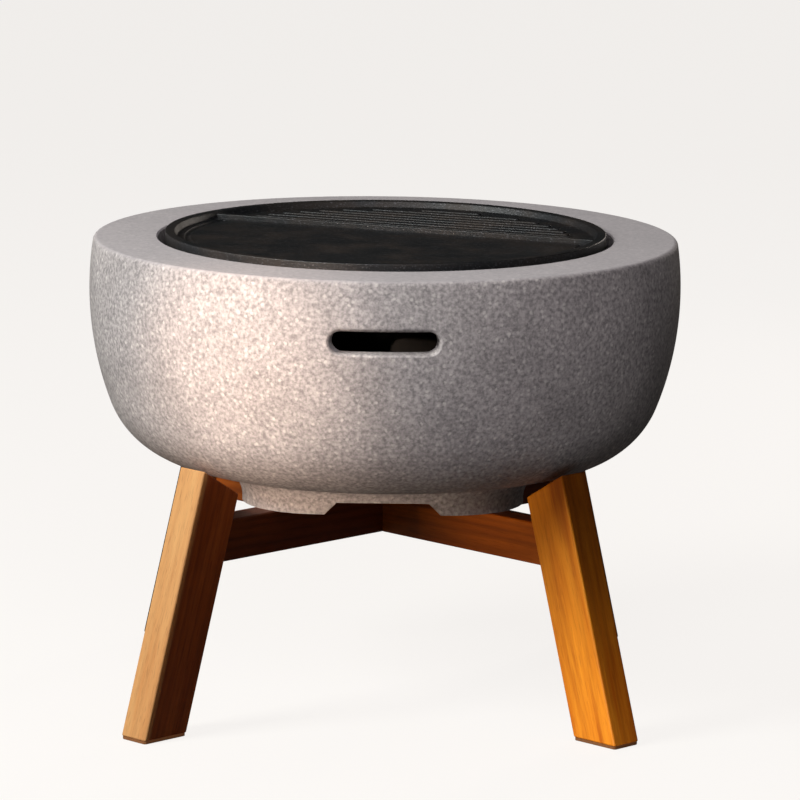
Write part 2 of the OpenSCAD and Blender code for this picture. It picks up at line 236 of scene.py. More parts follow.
# %% [markdown]
# Every finished piece goes through one function. It shades the mesh smoothly up
# to a limit angle, puts the material on, parents the piece to the body that it
# rides on, and hides the construction nodes that it stands for.

# %% Finish a piece
pieces = []


def finish(mesh, name, body, material, nodes, sharp=40, weighted=True):
    """Makes the piece's object and ties it to the frame."""
    for face in mesh.faces:
        face.smooth = True
    limit = math.radians(sharp)
    for edge in mesh.edges:
        edge.smooth = edge.calc_face_angle(math.pi) < limit
    piece = as_object(mesh, name)
    if weighted:
        modifier = piece.modifiers.new("weighted_normals", "WEIGHTED_NORMAL")
        modifier.keep_sharp = True
    piece.data.materials.append(material)
    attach(piece, body)
    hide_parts(*nodes)
    pieces.append(piece)
    triangles = sum(len(p.vertices) - 2 for p in piece.data.polygons)
    print(f"{name}: {triangles} triangles, on {body}")
    return piece


# %% [markdown]
# ## Tools for the materials
#
# Colours are written as sRGB hex values, the way a paint chart gives them, and
# one function turns them to the linear values that the shader works in. One more
# function adds a node with its settings and links.


# %% Colour and node helpers
def linear(hex_colour):
    """The linear RGBA of an sRGB colour such as "#b08050"."""
    channels = [int(hex_colour[i:i + 2], 16) / 255 for i in (1, 3, 5)]
    return (*[c / 12.92 if c <= 0.04045 else ((c + 0.055) / 1.055) ** 2.4 for c in channels], 1)


def add_node(tree, kind, inputs=None, **settings):
    """A node with its settings. inputs gives each socket a value, or an output to link."""
    node = tree.nodes.new(kind)
    for name, value in settings.items():
        setattr(node, name, value)
    for socket, value in (inputs or {}).items():
        if isinstance(value, bpy.types.NodeSocket):
            tree.links.new(value, node.inputs[socket])
        else:
            node.inputs[socket].default_value = value
    return node


# The Mix node's colour sockets have no names of their own, only these places
MIX_FACTOR, MIX_A, MIX_B, MIX_OUT = 0, 6, 7, 2


def new_material(name):
    """A material with a shader, and the Object coordinates to draw its patterns on."""
    material = bpy.data.materials.new(name)
    material.use_nodes = True
    tree = material.node_tree
    shader = tree.nodes["Principled BSDF"]
    place = add_node(tree, "ShaderNodeTexCoord").outputs["Object"]
    return material, tree, shader, place


def coat(tree, shader, colour, roughness, bump):
    """Links a finish's colour, roughness and bump to the shader."""
    tree.links.new(colour.outputs[MIX_OUT], shader.inputs["Base Color"])
    tree.links.new(roughness.outputs["Result"], shader.inputs["Roughness"])
    tree.links.new(bump.outputs["Normal"], shader.inputs["Normal"])


print("#808080 is", round(linear("#808080")[0], 3), "in linear light")

# %% [markdown]
# ## Cast magnesia cement
#
# The bowl is cast in magnesia cement: a fine grey paste with light mineral
# flecks and short fibres, sealed with a matt clear coat. Seen from a few steps
# it is a mid grey that sparkles a little. The flecks come from a Voronoi
# pattern, where each cell's own random value says how light its fleck is, so
# that most of them drown in the ground and a few stand out. Their shapes are
# bent by a fine noise, as chips of stone aren't round. The ground's mottling is
# two more noises, and a bump of the same grain roughens the surface. The top of
# the rim was struck off smooth, so the pattern fades there.

# %% Magnesia cement
FLECK = 5.5 * MM       # distance between light flecks
CHIP = 3.0 * MM        # how far a fleck's outline is bent, and over what length
GRIT = 3.8 * MM        # size of the ground's mottling
CLOUD = 60 * MM        # size of the slow changes of tone
TROWELLED = 6 * MM     # height of the smooth band under the rim's top
PASTE_TONES = ("#787475", "#aea8a8")
FLECK_TONE = "#d8d3cf"
STRUCK_TONE = "#ada8ab"
STRUCK_SHARE = 0.62    # how far the struck top hides its flecks
FLECK_LIGHT = 0.52     # how far the lightest fleck stands out of the paste


def cement_flecks(tree, place):
    """How much of a light fleck shows at each point."""
    chip = add_node(tree, "ShaderNodeTexNoise", {
        "Vector": place, "Scale": 1 / CHIP, "Detail": 1.0, "Roughness": 0.5})
    bent = add_node(tree, "ShaderNodeVectorMath", {
        0: chip.outputs["Color"], 1: (CHIP, CHIP, CHIP), 2: place}, operation="MULTIPLY_ADD")
    fleck = add_node(tree, "ShaderNodeTexVoronoi", {
        "Vector": bent.outputs["Vector"], "Scale": 1 / FLECK, "Randomness": 1.0}, feature="F1")
    size = add_node(tree, "ShaderNodeMapRange", {
        "Value": fleck.outputs["Distance"], "From Min": 0.42, "From Max": 0.18})
    light = add_node(tree, "ShaderNodeMapRange", {
        "Value": add_node(tree, "ShaderNodeSeparateColor", {
            "Color": fleck.outputs["Color"]}).outputs["Red"],
        "From Min": 0.1, "From Max": 1.0, "To Min": 0.0, "To Max": FLECK_LIGHT})
    return add_node(tree, "ShaderNodeMath", {
        0: size.outputs["Result"], 1: light.outputs["Result"]},
        operation="MULTIPLY").outputs["Value"]


def struck_top(tree, place):
    """1 where the rim's top was struck off smooth, and 0 elsewhere."""
    height = add_node(tree, "ShaderNodeSeparateXYZ", {"Vector": place}).outputs["Z"]
    up = add_node(tree, "ShaderNodeSeparateXYZ", {
        "Vector": add_node(tree, "ShaderNodeNewGeometry").outputs["Normal"]}).outputs["Z"]
    near_top = add_node(tree, "ShaderNodeMapRange", {
        "Value": height, "From Min": rim_z - TROWELLED, "From Max": rim_z - TROWELLED / 3})
    facing_up = add_node(tree, "ShaderNodeMapRange", {
        "Value": up, "From Min": 0.5, "From Max": 0.9})
    return add_node(tree, "ShaderNodeMath", {
        0: near_top.outputs["Result"], 1: facing_up.outputs["Result"]},
        operation="MULTIPLY").outputs["Value"]


print("cement: flecks", FLECK / MM, "mm apart, grit of", GRIT / MM, "mm")

# %% [markdown]
# The cement's colour is then built in layers: the mottled paste, the flecks, the
# slow clouds, and the struck top over them all. The grit and the flecks also
# feed the bump, because a fleck stands a little proud of the paste.

# %% The cement's layers
def cast_cement(name):
    """Speckled cement: matt, with a faint gloss from its sealer."""
    material, tree, shader, place = new_material(name)
    cloud = add_node(tree, "ShaderNodeTexNoise", {
        "Vector": place, "Scale": 1 / CLOUD, "Detail": 2.0, "Roughness": 0.5})
    grit = add_node(tree, "ShaderNodeTexNoise", {
        "Vector": place, "Scale": 1 / GRIT, "Detail": 3.0, "Roughness": 0.6})
    grit_tone = add_node(tree, "ShaderNodeMapRange", {
        "Value": grit.outputs["Fac"], "From Min": 0.33, "From Max": 0.67})
    dark, light = (linear(tone) for tone in PASTE_TONES)
    paste = add_node(tree, "ShaderNodeMix", {
        MIX_FACTOR: grit_tone.outputs["Result"], MIX_A: dark, MIX_B: light}, data_type="RGBA")
    flecks = cement_flecks(tree, place)
    flecked = add_node(tree, "ShaderNodeMix", {
        MIX_FACTOR: flecks, MIX_A: paste.outputs[MIX_OUT], MIX_B: linear(FLECK_TONE)},
        data_type="RGBA")
    clouded = add_node(tree, "ShaderNodeMix", {
        MIX_FACTOR: 0.25, MIX_A: flecked.outputs[MIX_OUT], MIX_B: cloud.outputs["Fac"]},
        data_type="RGBA", blend_type="OVERLAY")
    struck = struck_top(tree, place)
    struck_share = add_node(tree, "ShaderNodeMath", {
        0: struck, 1: STRUCK_SHARE}, operation="MULTIPLY")
    colour = add_node(tree, "ShaderNodeMix", {
        MIX_FACTOR: struck_share.outputs["Value"], MIX_A: clouded.outputs[MIX_OUT],
        MIX_B: linear(STRUCK_TONE)}, data_type="RGBA")
    bump_height = add_node(tree, "ShaderNodeMath", {
        0: grit.outputs["Fac"], 1: flecks}, operation="ADD")
    bump_strength = add_node(tree, "ShaderNodeMapRange", {
        "Value": struck, "To Min": 0.35, "To Max": 0.1})
    bump = add_node(tree, "ShaderNodeBump", {
        "Strength": bump_strength.outputs["Result"], "Distance": 0.4 * MM,
        "Height": bump_height.outputs["Value"]})
    roughness = add_node(tree, "ShaderNodeMapRange", {
        "Value": grit.outputs["Fac"], "To Min": 0.62, "To Max": 0.82})
    coat(tree, shader, colour, roughness, bump)
    shader.inputs["IOR"].default_value = 1.5    # an acrylic sealer
    return material


cement = cast_cement("cast_magnesia_cement")
print("material:", cement.name, "with", len(cement.node_tree.nodes), "nodes")

# %% [markdown]
# ## Seasoned cast iron
#
# The grill plate is sand-cast grey iron, seasoned with oil until it is nearly
# black. The sand leaves a grain of about half a millimetre, drawn here at 1.5 mm
# because the finer grain would vanish in the render. Pale specks on the grain's
# peaks are painted glints, the sparkle that light strikes from the rough iron. The
# baked oil gives a satin gloss that is uneven, so the roughness has its own slow
# noise, and a brown cast shows where the oil lies thick.

# %% Cast iron
SAND = 1.5 * MM        # grain that the mould's sand leaves
OIL_PATCH = 45 * MM    # size of the patches in the oil
IRON_TONE, OIL_TONE, GLINT_TONE = "#1e2022", "#2b2623", "#74747a"


def seasoned_iron(name):
    """Oiled cast iron: nearly black, grainy, and satin where the oil is thick."""
    material, tree, shader, place = new_material(name)
    grain = add_node(tree, "ShaderNodeTexNoise", {
        "Vector": place, "Scale": 1 / SAND, "Detail": 3.0, "Roughness": 0.65})
    patch = add_node(tree, "ShaderNodeTexNoise", {
        "Vector": place, "Scale": 1 / OIL_PATCH, "Detail": 3.0, "Roughness": 0.55})
    patch_tone = add_node(tree, "ShaderNodeMapRange", {
        "Value": patch.outputs["Fac"], "From Min": 0.4, "From Max": 0.65})
    colour = add_node(tree, "ShaderNodeMix", {
        MIX_FACTOR: patch_tone.outputs["Result"], MIX_A: linear(IRON_TONE),
        MIX_B: linear(OIL_TONE)}, data_type="RGBA")
    # painted glints: pale specks on the grain's peaks, for the sparkle of light on rough iron
    glint_share = add_node(tree, "ShaderNodeMapRange", {
        "Value": grain.outputs["Fac"], "From Min": 0.58, "From Max": 0.72,
        "To Min": 0.0, "To Max": 0.75})
    grained = add_node(tree, "ShaderNodeMix", {
        MIX_FACTOR: glint_share.outputs["Result"], MIX_A: colour.outputs[MIX_OUT],
        MIX_B: linear(GLINT_TONE)}, data_type="RGBA")
    roughness = add_node(tree, "ShaderNodeMapRange", {
        "Value": patch.outputs["Fac"], "From Min": 0.35, "From Max": 0.7,
        "To Min": 0.42, "To Max": 0.6})
    bump = add_node(tree, "ShaderNodeBump", {
        "Strength": 0.75, "Distance": 0.4 * MM, "Height": grain.outputs["Fac"]})
    coat(tree, shader, grained, roughness, bump)
    # half way to a metal, because the baked oil covers the iron like a varnish
    shader.inputs["Metallic"].default_value = 0.55
    return material


iron = seasoned_iron("seasoned_cast_iron")
print("material:", iron.name, "with a grain of", SAND / MM, "mm")

# %% [markdown]
# ## Oiled hardwood
#
# The stand is solid hardwood, oiled, so it looks warm and has little gloss. Wood
# is a stack of growth rings round a pith, so the colour is drawn as rings round
# an axis that runs along the plank. The pith lies outside the plank, as it does
# in most sawn timber. The rings wander, and they fade in and out where soft
# streaks of colour cross them. Fine pores run with the grain. Because the pattern
# is solid, the end grain on the cut ends matches the sides without extra work.
# A Mapping node turns the pattern to the plank, and a different spot of it is
# used for each plank. One plank was sawn from the edge of the tree, and keeps a
# band of pale sapwood along its outer face; the band is also painted light, for
# the light that this face catches.

# %% Wood
RING = 6.5 * MM        # width of a growth ring
WANDER = 30 * MM       # length over which the rings wander
SWAY = 12 * MM         # how far they wander
PORE = 0.9 * MM        # width of a pore, drawn wider than the real 0.2 mm so it shows
STREAK = 10 * MM       # width of the broad streaks of colour
DRAWN_OUT = 0.06       # how much slower all of them change along the grain
WAVE_RADIANS = 20      # how far a Wave node's sine runs in one unit, at a Scale of 1
RING_DEPTH = 0.4       # how dark the rings get in heartwood
SAP_RING_DEPTH = 0.12  # and in sapwood
SAP_FROM, SAP_TO = -17.8 * MM, -24.8 * MM   # where the sapwood begins and is full
SAP_UNEVEN = 3 * MM    # how far its border strays


def growth(tree, along):
    """The rings, the broad streaks and the pores, all drawn out along the grain."""
    drawn_out = add_node(tree, "ShaderNodeMapping", {
        "Vector": along, "Scale": (DRAWN_OUT, 1, 1)}).outputs["Vector"]
    wander = add_node(tree, "ShaderNodeTexNoise", {
        "Vector": drawn_out, "Scale": 1 / WANDER, "Detail": 1.0, "Roughness": 0.5})
    bent = add_node(tree, "ShaderNodeVectorMath", {
        0: wander.outputs["Color"], 1: (0, SWAY, SWAY), 2: drawn_out}, operation="MULTIPLY_ADD")
    rings = add_node(tree, "ShaderNodeTexWave", {
        "Vector": bent.outputs["Vector"], "Scale": 2 * math.pi / (WAVE_RADIANS * RING),
        "Distortion": 3.0, "Detail": 2.0, "Detail Scale": 0.25, "Detail Roughness": 0.5},
        wave_type="RINGS", rings_direction="X", wave_profile="SIN")
    streak = add_node(tree, "ShaderNodeTexNoise", {
        "Vector": bent.outputs["Vector"], "Scale": 1 / STREAK, "Detail": 3.0, "Roughness": 0.6})
    pores = add_node(tree, "ShaderNodeTexNoise", {
        "Vector": drawn_out, "Scale": 1 / PORE, "Detail": 2.0, "Roughness": 0.5})
    return [pattern.outputs["Fac"] for pattern in (rings, streak, pores)]


def sapwood_and_light_share(tree, along, pith, streak):
    """1 in the pale sapwood under a plank's outer face, partly painted light on that face, 0 in
    its heart, with an uneven border.
    """
    depth = add_node(tree, "ShaderNodeSeparateXYZ", {"Vector": along}).outputs["Z"]
    uneven = add_node(tree, "ShaderNodeMath", {
        0: streak, 1: 2 * SAP_UNEVEN, 2: depth}, operation="MULTIPLY_ADD")
    return add_node(tree, "ShaderNodeMapRange", {
        "Value": uneven.outputs["Value"], "From Min": SAP_FROM + SAP_UNEVEN - pith[2],
        "From Max": SAP_TO + SAP_UNEVEN - pith[2]},
        interpolation_type="SMOOTHSTEP").outputs["Result"]


print("wood: rings", RING / MM, "mm wide, pores", PORE / MM, "mm")

# %% [markdown]
# The wood's colour has the same order as the real thing: heartwood, with sapwood
# beside it if the plank has any, then the dark late wood of the rings, and the
# pores last. Sapwood shows its rings less. Its pale band is partly painted light,
# for the light on the face where it lies.

# %% The wood's layers
def oiled_wood(name, plank, pith, tones, sapwood=None):
    """plank is the matrix of the plank's own axes, with X along the grain."""
    material, tree, shader, place = new_material(name)
    along = add_node(tree, "ShaderNodeMapping", {
        "Vector": place, "Location": plank.to_translation() + plank.to_3x3() @ Vector(pith),
        "Rotation": plank.to_euler("XYZ")}, vector_type="TEXTURE").outputs["Vector"]
    rings, streak, pores = growth(tree, along)
    light, dark, late = (linear(tone) for tone in tones)
    broad = add_node(tree, "ShaderNodeMapRange", {
        "Value": streak, "From Min": 0.3, "From Max": 0.7}).outputs["Result"]
    ground = add_node(tree, "ShaderNodeMix", {
        MIX_FACTOR: broad, MIX_A: light, MIX_B: dark}, data_type="RGBA")
    ring_depth = RING_DEPTH
    if sapwood:
        # the sapwood's pale band is partly painted light on the outer face that catches it
        sapwood_and_light_mask = sapwood_and_light_share(tree, along, pith, streak)
        sap = add_node(tree, "ShaderNodeMix", {
            MIX_FACTOR: broad, MIX_A: linear(sapwood[0]), MIX_B: linear(sapwood[1])},
            data_type="RGBA")
        ground = add_node(tree, "ShaderNodeMix", {
            MIX_FACTOR: sapwood_and_light_mask, MIX_A: ground.outputs[MIX_OUT],
            MIX_B: sap.outputs[MIX_OUT]}, data_type="RGBA")
        ring_depth = add_node(tree, "ShaderNodeMapRange", {
            "Value": sapwood_and_light_mask, "To Min": RING_DEPTH,
            "To Max": SAP_RING_DEPTH}).outputs["Result"]
    faded = add_node(tree, "ShaderNodeMath", {0: rings, 1: streak}, operation="MULTIPLY")
    ring_share = add_node(tree, "ShaderNodeMapRange", {
        "Value": faded.outputs["Value"], "From Min": 0.2, "From Max": 0.65,
        "To Min": 0.0, "To Max": ring_depth})
    ringed = add_node(tree, "ShaderNodeMix", {
        MIX_FACTOR: ring_share.outputs["Result"], MIX_A: ground.outputs[MIX_OUT],
        MIX_B: late}, data_type="RGBA")
    pore_share = add_node(tree, "ShaderNodeMapRange", {
        "Value": pores, "From Min": 0.55, "From Max": 0.75, "To Min": 0.0, "To Max": 0.45})
    colour = add_node(tree, "ShaderNodeMix", {
        MIX_FACTOR: pore_share.outputs["Result"], MIX_A: ringed.outputs[MIX_OUT],
        MIX_B: late}, data_type="RGBA")
    roughness = add_node(tree, "ShaderNodeMapRange", {
        "Value": pores, "From Min": 0.4, "From Max": 0.8, "To Min": 0.42, "To Max": 0.62})
    bump = add_node(tree, "ShaderNodeBump", {
        "Strength": 0.25, "Distance": 0.2 * MM, "Height": pores}, invert=True)
    coat(tree, shader, colour, roughness, bump)
    shader.inputs["IOR"].default_value = 1.47   # a drying oil
    # the oil sinks in and leaves little gloss
    shader.inputs["Specular IOR Level"].default_value = 0.3
    return material


print("sapwood:", round((SAP_FROM - SAP_TO) / MM, 1), "mm from its first tinge to full")

# %% [markdown]
# ## Plainer finishes
#
# The fire pan is pressed steel in heat-proof black paint, which is dead matt and
# grey where ash lies on it. The grate is bare drawn rod that the fire has tinted
# grey-brown, with a dull metal gloss. The pads are moulded brown rubber, and the
# dowels are turned from bare beech. These four are small or hidden, so one
# function does them all: a base colour, varied towards a tint by a noise.


# %% Paint, rod, rubber and beech
def grained(name, base, tint, grain, smooth, rough, metallic=0.0):
    """A base colour varied towards a tint by a noise of that grain, with its roughness range."""
    material, tree, shader, place = new_material(name)
    noise = add_node(tree, "ShaderNodeTexNoise", {
        "Vector": place, "Scale": 1 / grain, "Detail": 4.0, "Roughness": 0.6})
    share = add_node(tree, "ShaderNodeMapRange", {
        "Value": noise.outputs["Fac"], "From Min": 0.4, "From Max": 0.75})
    colour = add_node(tree, "ShaderNodeMix", {
        MIX_FACTOR: share.outputs["Result"], MIX_A: linear(base), MIX_B: linear(tint)},
        data_type="RGBA")
    roughness = add_node(tree, "ShaderNodeMapRange", {
        "Value": noise.outputs["Fac"], "From Min": 0.3, "From Max": 0.7,
        "To Min": smooth, "To Max": rough})
    bump = add_node(tree, "ShaderNodeBump", {
        "Strength": 0.3, "Distance": 0.1 * MM, "Height": noise.outputs["Fac"]})
    coat(tree, shader, colour, roughness, bump)
    shader.inputs["Metallic"].default_value = metallic
    return material


stove_paint = grained("heatproof_black_paint", "#0c0c0c", "#232120", 8 * MM, 0.65, 0.85)
fired_rod = grained("fire_tinted_steel_rod", "#4a4744", "#5a4a3c", 5 * MM, 0.4, 0.6, metallic=1.0)
rubber = grained("moulded_brown_rubber", "#7a4a22", "#8a5a30", 2 * MM, 0.7, 0.85)
beech = grained("bare_beech", "#cda878", "#b98f5e", 3 * MM, 0.6, 0.75)
print("materials:", len(bpy.data.materials))

# %% [markdown]
# ## The bowl
#
# A casting like this is one closed shape: a side that curves gently in and then
# turns under in a tighter shoulder, a wide flat rim round the opening, and a
# ledge inside for the pan. The profile is walked once round, outside and in, and
# spun about Z. Both curves are arcs that touch without a kink, so the side reads
# as one sweep.

# %% The bowl's profile
BOWL_TURNS = 288
wall = 20 * MM
side_r, side_sweep = 325 * MM, 21
shoulder_r = 92 * MM
rim_round = 5 * MM
rim_bevel = 1.5 * MM
opening_r, ledge_w, ledge_depth, rim_t = 231 * MM, 18 * MM, 23 * MM, 38 * MM
foot_straight, cove_r = 5 * MM, 28 * MM
under_z = foot_z + foot_straight + cove_r
side_c = (bowl_r - side_r, under_z + shoulder_r
          + (side_r - shoulder_r) * math.sin(math.radians(side_sweep)))
shoulder_c = polar(side_c, side_r - shoulder_r, -side_sweep)


def bowl_body():
    mesh = bmesh.new()
    throat_r = opening_r - ledge_w
    round_z = rim_z - rim_round
    lift = math.degrees(math.asin((round_z - side_c[1]) / (side_r - rim_round)))
    round_c = polar(side_c, side_r - rim_round, lift)
    # outside, from the rim's inner edge down to the middle of the underside
    first = mesh.verts.new((opening_r + rim_bevel, 0, rim_z))
    point = chain(mesh, [(round_c[0], rim_z)], first)
    point = arc(mesh, point, round_c, 90 - lift, 8)
    point = arc(mesh, point, side_c, lift + side_sweep, 48)
    point = arc(mesh, point, shoulder_c, 90 - side_sweep, 30)
    chain(mesh, [(0, under_z)], point)
    # inside, from the middle of the floor up to the rim
    inner_r = side_r - wall
    under_rim_z = rim_z - rim_t
    inner_lift = math.degrees(math.asin((under_rim_z - side_c[1]) / inner_r))
    inner_top = polar(side_c, inner_r, inner_lift)
    point = chain(mesh, [(0, under_z + wall), (shoulder_c[0], under_z + wall)])
    point = arc(mesh, point, shoulder_c, side_sweep - 90, 24)
    point = arc(mesh, point, side_c, -side_sweep - inner_lift, 24)
    point = chain(mesh, [(throat_r, under_rim_z), (throat_r, rim_z - ledge_depth),
                         (opening_r, rim_z - ledge_depth), (opening_r, rim_z - rim_bevel)], point)
    mesh.edges.new((point, first))
    print("inner wall meets the rim at", [round(x / MM, 1) for x in inner_top], "mm")
    revolve(mesh, BOWL_TURNS)
    return as_object(mesh, "bowl_body")


bowl = bowl_body()
print("bowl body:", len(bowl.data.polygons), "faces")

# %% [markdown]
# ## The cast foot
#
# Under the bowl is a square foot with large round corners, coved into the
# underside and notched in the middle of each side. One corner is a quarter turn
# of the foot's profile. Its two ends are drawn out to the middle of the sides,
# and two mirrors make the other three quarters.

# %% The foot
foot_half, corner_r = 142 * MM, 79 * MM
COVE_END = 86          # the cove stops just short of level, and meets the underside cleanly
cove_run = 6 * MM      # and goes on straight for so far


def corner_of_foot(mesh):
    """A quarter turn of the foot's profile, with its ends drawn out to the middle."""
    corner = foot_half - corner_r
    cove_c = (corner_r + cove_r, foot_z + foot_straight)
    point = chain(mesh, [(0, foot_z), (corner_r, foot_z), (corner_r, cove_c[1])])
    point = arc(mesh, point, cove_c, COVE_END, 12)
    edge_r = point.co.x + cove_run
    rise = cove_run * math.tan(math.radians(90 - COVE_END))
    top = under_z + wall / 2
    chain(mesh, [(edge_r, point.co.z + rise), (edge_r, top), (0, top)], point)
    bmesh.ops.spin(mesh, geom=whole(mesh), cent=(0, 0, 0), axis=(0, 0, 1),
                   angle=math.pi / 2, steps=24, use_merge=False)
    bmesh.ops.remove_doubles(mesh, verts=mesh.verts, dist=MERGE)
    bmesh.ops.translate(mesh, vec=(corner, corner, 0), verts=mesh.verts)
    for axis, drawn in ((1, (0, -corner, 0)), (0, (-corner, 0, 0))):
        ends = [e for e in mesh.edges if len(e.link_faces) == 1
                and all(abs(v.co[axis] - corner) < LOOSE_MERGE for v in e.verts)]
        new = bmesh.ops.extrude_edge_only(mesh, edges=ends)
        bmesh.ops.translate(mesh, vec=drawn, verts=verts_in(new["geom"]))


def foot_block():
    mesh = bmesh.new()
    corner_of_foot(mesh)
    for axis in ("X", "Y"):
        bmesh.ops.mirror(mesh, geom=whole(mesh), axis=axis, merge_dist=LOOSE_MERGE)
    bmesh.ops.remove_doubles(mesh, verts=mesh.verts, dist=LOOSE_MERGE)
    bmesh.ops.holes_fill(mesh, edges=[e for e in mesh.edges if e.is_boundary], sides=0)
    bmesh.ops.recalc_face_normals(mesh, faces=mesh.faces)
    return as_object(mesh, "foot_block")


foot = foot_block()
print("foot block:", len(foot.data.polygons), "faces")

# %% [markdown]
# The foot is hollow, and a wide low notch in each side leaves it standing on its
# four corners. One bar across each way cuts two notches at once. A bar is wider
# at the bottom, so the ends of a notch slope, as a casting's have to. The edges
# that the cuts leave are eased last.

# %% The foot's hollow and notches
foot_wall, foot_ease = 32 * MM, 2.5 * MM
ease_below = under_z - 3 * MM
notch_w, notch_h = 92 * MM, 12 * MM
NOTCH_BAR = 0.8        # metres, so that a bar sticks out on both sides
PAST = 1 * MM          # how far a shape runs on past the face that it cuts or joins


def foot_cutters():
    """The hollow inside the foot, and the two bars that leave the four notches."""
    hollow = bmesh.new()
    inner = 2 * (foot_half - foot_wall)
    rounded_slab(hollow, (inner, inner), corner_r - foot_wall, foot_z - 10 * PAST, under_z)
    notches = []
    for turn in (0, 90):
        bar = bmesh.new()
        bmesh.ops.create_cube(bar, size=1)
        for vertex in bar.verts:
            top = vertex.co.z > 0
            half = notch_w / 2 if top else notch_w / 2 + notch_h + PAST
            vertex.co = (math.copysign(half, vertex.co.x), NOTCH_BAR * vertex.co.y,
                         foot_z + notch_h if top else foot_z - PAST)
        bmesh.ops.rotate(bar, matrix=about_z(turn), verts=bar.verts)
        notches.append(as_object(bar, f"notch_bar_{turn}"))
    return [as_object(hollow, "foot_hollow"), *notches]


for cutter in foot_cutters():
    combine(foot, cutter, "DIFFERENCE")
foot_mesh = reopen(foot)
low_edges = [e for e in sharp_edges(foot_mesh) if all(v.co.z < ease_below for v in e.verts)]
ease(foot_mesh, low_edges, foot_ease)
foot = as_object(foot_mesh, "foot")
print("foot:", len(foot.data.polygons), "faces,", len(low_edges), "edges eased")

# %% [markdown]
# ## The hand slots
#
# A slot runs with the round wall, and its mouth is rounded where the mould's
# core stood. The cutter is drawn as one chain, from inside the wall out through
# the rounded mouth. Spun half a turn about the wall's radius it makes a round
# end, and spun a few degrees about Z it makes the straight stretch between.

# %% The slots' cutters
slot_w, slot_h, slot_drop = 108 * MM, 22 * MM, 60 * MM
mouth_round, mouth_run = 4.5 * MM, 8 * MM
MOUTH_SWEEP = 78       # the mouth's rounding stops short of the wall, and meets it cleanly
slot_z = rim_z - slot_drop


def slot_cutter(azimuth):
    mesh = bmesh.new()
    half = slot_h / 2
    turn = math.asin((slot_w - slot_h) / (2 * bowl_r))
    start = chain(mesh, [(bowl_r - 2 * wall, half), (bowl_r - mouth_round, half)])
    point = arc(mesh, start, (bowl_r - mouth_round, half + mouth_round), -MOUTH_SWEEP, 6)
    chain(mesh, [polar((point.co.x, point.co.z), mouth_run, MOUTH_SWEEP)], point)
    upper = whole(mesh)
    made = bmesh.ops.spin(mesh, geom=upper, cent=(0, 0, 0), axis=(1, 0, 0),
                          angle=math.pi, steps=16, use_merge=False)
    bmesh.ops.spin(mesh, geom=made["geom_last"], cent=(0, 0, 0), axis=(0, 0, 1),
                   angle=2 * turn, steps=10)
    made = bmesh.ops.spin(mesh, geom=upper, cent=(0, 0, 0), axis=(0, 0, 1),
                          angle=2 * turn, steps=10)
    far = Vector((math.cos(2 * turn), math.sin(2 * turn), 0))
    bmesh.ops.spin(mesh, geom=made["geom_last"], cent=(0, 0, 0), axis=far,
                   angle=-math.pi, steps=16)
    bmesh.ops.remove_doubles(mesh, verts=mesh.verts, dist=LOOSE_MERGE)
    made = bmesh.ops.holes_fill(mesh, edges=[e for e in mesh.edges if e.is_boundary], sides=0)
    # the two fills aren't flat, and a Boolean needs them as triangles
    bmesh.ops.triangulate(mesh, faces=made["faces"])
    bmesh.ops.recalc_face_normals(mesh, faces=mesh.faces)
    bmesh.ops.rotate(mesh, matrix=Matrix.Rotation(math.radians(azimuth) - turn, 3, "Z"),
                     verts=mesh.verts)
    bmesh.ops.translate(mesh, vec=(0, 0, slot_z), verts=mesh.verts)
    return as_object(mesh, f"slot_cutter_{azimuth}")


combine(bowl, foot, "UNION")
for azimuth in (-90, 90):
    combine(bowl, slot_cutter(azimuth), "DIFFERENCE")
bowl_mesh = reopen(bowl)
finish(bowl_mesh, "cast_bowl", "bowl", cement, ["bowl"], sharp=32,
       weighted=False)

# %% [markdown]
# ## The grill plate
#
# The plate is the casting that takes the most skill: a rim, a flat griddle with
# a grease groove, a divider, and a grill whose bars stand up between slots. It is
# turned a little in its seat, as it is in use. The disc is a revolved profile with
# a raised rim, and its edges are eased, because sand can't hold a sharp one.

# %% The plate's disc
plate_r = round(plate_high.x, 4)
plate_top, plate_bottom = plate_high.z, plate_high.z - 18 * MM
plate_turn = -22       # degrees
plate_recess, floor_t = 7 * MM, 7 * MM
plate_floor = plate_top - plate_recess
rim_w, rim_slope = 9 * MM, 3 * MM
field_r = plate_r - rim_w - rim_slope
plate_ease = 1.2 * MM
PLATE_TURNS = 240


def plate_disc():
    mesh = bmesh.new()
    chain(mesh, [(0, plate_floor), (field_r, plate_floor), (plate_r - rim_w, plate_top),
                 (plate_r, plate_top), (plate_r, plate_bottom), (plate_r - rim_w, plate_bottom),
                 (field_r, plate_floor - floor_t), (0, plate_floor - floor_t)])
    revolve(mesh, PLATE_TURNS)
    ease(mesh, sharp_edges(mesh, 20), plate_ease)
    return as_object(mesh, "plate_disc")


plate = plate_disc()
print("plate disc:", round(2 * plate_r / MM, 1), "mm across")

# %% [markdown]
# The divider and the bars are slabs with rounded tops, joined to the disc. A bar
# is as long as the round field lets it be, which is the chord at its distance
# from the middle. The slots between the bars go right through, in two halves, so
# that a web down the middle ties the bars together.

# %% The plate's bars and slots
divider_offset, divider_w, divider_h, divider_corner = 48 * MM, 5 * MM, 5 * MM, 1 * MM
bar_pitch, slot_across, bar_h = 16 * MM, 8 * MM, 3 * MM
web_w, border_w = 12 * MM, 22 * MM
bar_inset, bar_flat = 0.2 * MM, 0.2 * MM   # a bar's step in from its slots, and its flat end
bar_ease = 1.6 * MM
pattern_r = field_r - border_w
first_slot = divider_offset + divider_w / 2 + bar_pitch - slot_across / 2
SLOT_ROWS = 8


def half_chord(radius, distance):
    """Half the length of a circle's chord that passes at that distance from its middle."""
    return math.sqrt(max(0, radius * radius - distance * distance))


